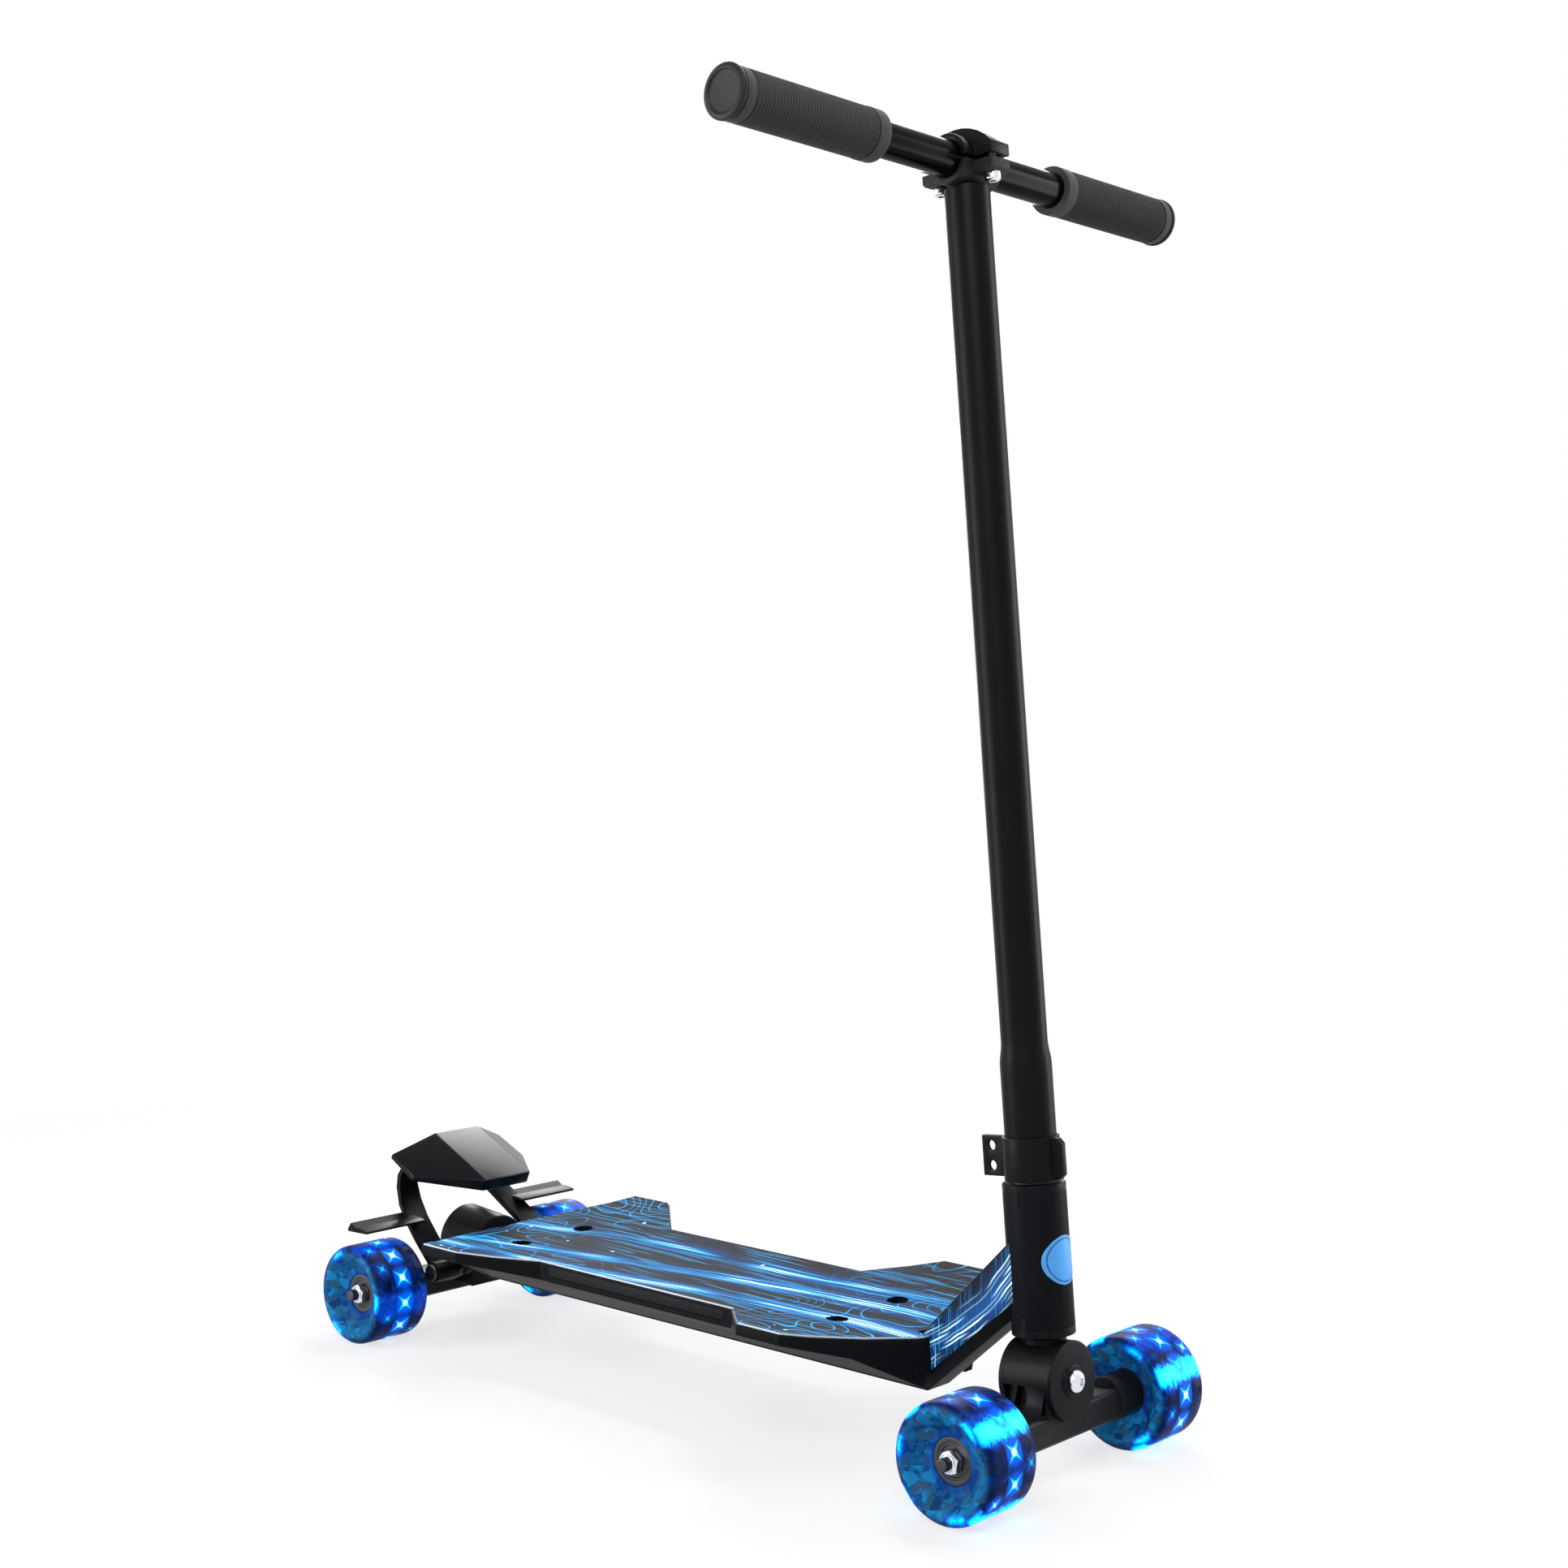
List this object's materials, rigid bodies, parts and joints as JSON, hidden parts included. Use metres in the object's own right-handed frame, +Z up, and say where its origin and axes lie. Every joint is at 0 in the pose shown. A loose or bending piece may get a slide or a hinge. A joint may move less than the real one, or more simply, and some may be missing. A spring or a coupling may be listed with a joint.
{
  "type": "four-wheeled carving scooter",
  "caption": "Kick scooter with a wasp-waisted dished deck, a T-bar on a raked head tube, rocking truck beams front and rear, clear blue wheels and a hinged foot brake.",
  "frame": {"origin": "on the ground midway between the two axles, on the plane of symmetry", "axes": "+X forward, +Y to the rider's left, +Z up"},
  "size_m": [0.623, 0.4326, 0.8221],
  "materials": {
    "satin_black": "satin",
    "moulded_black": "satin",
    "textured_black": "matt",
    "cast_black": "matt",
    "grip_rubber": "matt",
    "deck_graphic": "satin",
    "chrome": "polished",
    "dark_steel": "satin",
    "blue_wheel": "gloss",
    "hub_plastic": "satin",
    "elastomer": "matt"
  },
  "bodies": {
    "frame": {"main_frame": "satin_black", "deck_shell": "moulded_black", "deck_sheet": "deck_graphic", "side_panel_left": "textured_black", "side_panel_right": "textured_black", "headset_cup_lower": "satin_black", "headset_cup_upper": "satin_black", "headset_bearing_lower": "dark_steel", "headset_bearing_upper": "dark_steel", "deck_screw_1": "dark_steel", "deck_screw_2": "dark_steel", "deck_screw_3": "dark_steel", "deck_screw_4": "dark_steel", "rear_crown": "satin_black", "pivot_bolt_rear": "chrome"},
    "steering": {"fork_crown": "satin_black", "pivot_bolt_front": "chrome", "pivot_nut_front": "dark_steel", "steerer_sleeve": "dark_steel", "stem_tube": "satin_black", "clamp_collar": "satin_black", "bar_clamp_saddle": "cast_black", "bar_clamp_cap": "satin_black", "bar_clamp_bolt_front": "chrome", "bar_clamp_bolt_rear": "chrome", "handlebar": "satin_black", "grip_left": "grip_rubber", "grip_right": "grip_rubber", "bar_end_left": "moulded_black", "bar_end_right": "moulded_black"},
    "front_truck": {"front_beam": "satin_black", "axle_rod_front": "dark_steel", "axle_nut_front_left": "chrome", "axle_nut_front_right": "chrome", "pivot_bushing_front": "elastomer"},
    "rear_truck": {"rear_beam": "satin_black", "axle_rod_rear": "dark_steel", "axle_nut_rear_left": "chrome", "axle_nut_rear_right": "chrome", "pivot_bushing_rear": "elastomer", "brake_pin_left": "dark_steel", "brake_pin_right": "dark_steel", "brake_spring_left": "dark_steel", "brake_spring_right": "dark_steel"},
    "wheel_front_left": {"tyre_front_left": "blue_wheel", "hub_core_front_left": "hub_plastic", "bearings_front_left": "dark_steel"},
    "wheel_front_right": {"tyre_front_right": "blue_wheel", "hub_core_front_right": "hub_plastic", "bearings_front_right": "dark_steel"},
    "wheel_rear_left": {"tyre_rear_left": "blue_wheel", "hub_core_rear_left": "hub_plastic", "bearings_rear_left": "dark_steel"},
    "wheel_rear_right": {"tyre_rear_right": "blue_wheel", "hub_core_rear_right": "hub_plastic", "bearings_rear_right": "dark_steel"},
    "foot_brake": {"brake_pedal": "moulded_black", "brake_arm_left": "cast_black", "brake_arm_right": "cast_black"}
  },
  "joints": [
    {"name": "steering_yaw", "type": "hinge", "parent": "frame", "child": "steering", "pos_m": [0.27421, 0, 0], "axis": [-0.0866, 0, 0.9962], "range_deg": [-40, 40]},
    {"name": "front_truck_roll", "type": "hinge", "parent": "steering", "child": "front_truck", "pos_m": [0.26895, 0, 0.06047], "axis": [0.9962, 0, 0.0866], "range_deg": [-8, 8], "stiffness_Nm_per_rad": 12},
    {"name": "rear_truck_lean", "type": "hinge", "parent": "frame", "child": "rear_truck", "pos_m": [-0.2603, 0, 0.06], "axis": [0.9962, 0, -0.0872], "range_deg": [-8, 8], "stiffness_Nm_per_rad": 12},
    {"name": "foot_brake_press", "type": "hinge", "parent": "rear_truck", "child": "foot_brake", "pos_m": [-0.2435, 0, 0.049], "axis": [0, -1, 0], "range_deg": [0, 14], "stiffness_Nm_per_rad": 0.8, "springref_deg": -20.05},
    {"name": "wheel_front_left_spin", "type": "hinge", "parent": "front_truck", "child": "wheel_front_left", "pos_m": [0.2755, 0.0895, 0.036], "axis": [0, 1, 0], "continuous": true},
    {"name": "wheel_front_right_spin", "type": "hinge", "parent": "front_truck", "child": "wheel_front_right", "pos_m": [0.2755, -0.0895, 0.036], "axis": [0, 1, 0], "continuous": true},
    {"name": "wheel_rear_left_spin", "type": "hinge", "parent": "rear_truck", "child": "wheel_rear_left", "pos_m": [-0.2755, 0.0895, 0.036], "axis": [0, 1, 0], "continuous": true},
    {"name": "wheel_rear_right_spin", "type": "hinge", "parent": "rear_truck", "child": "wheel_rear_right", "pos_m": [-0.2755, -0.0895, 0.036], "axis": [0, 1, 0], "continuous": true}
  ]
}
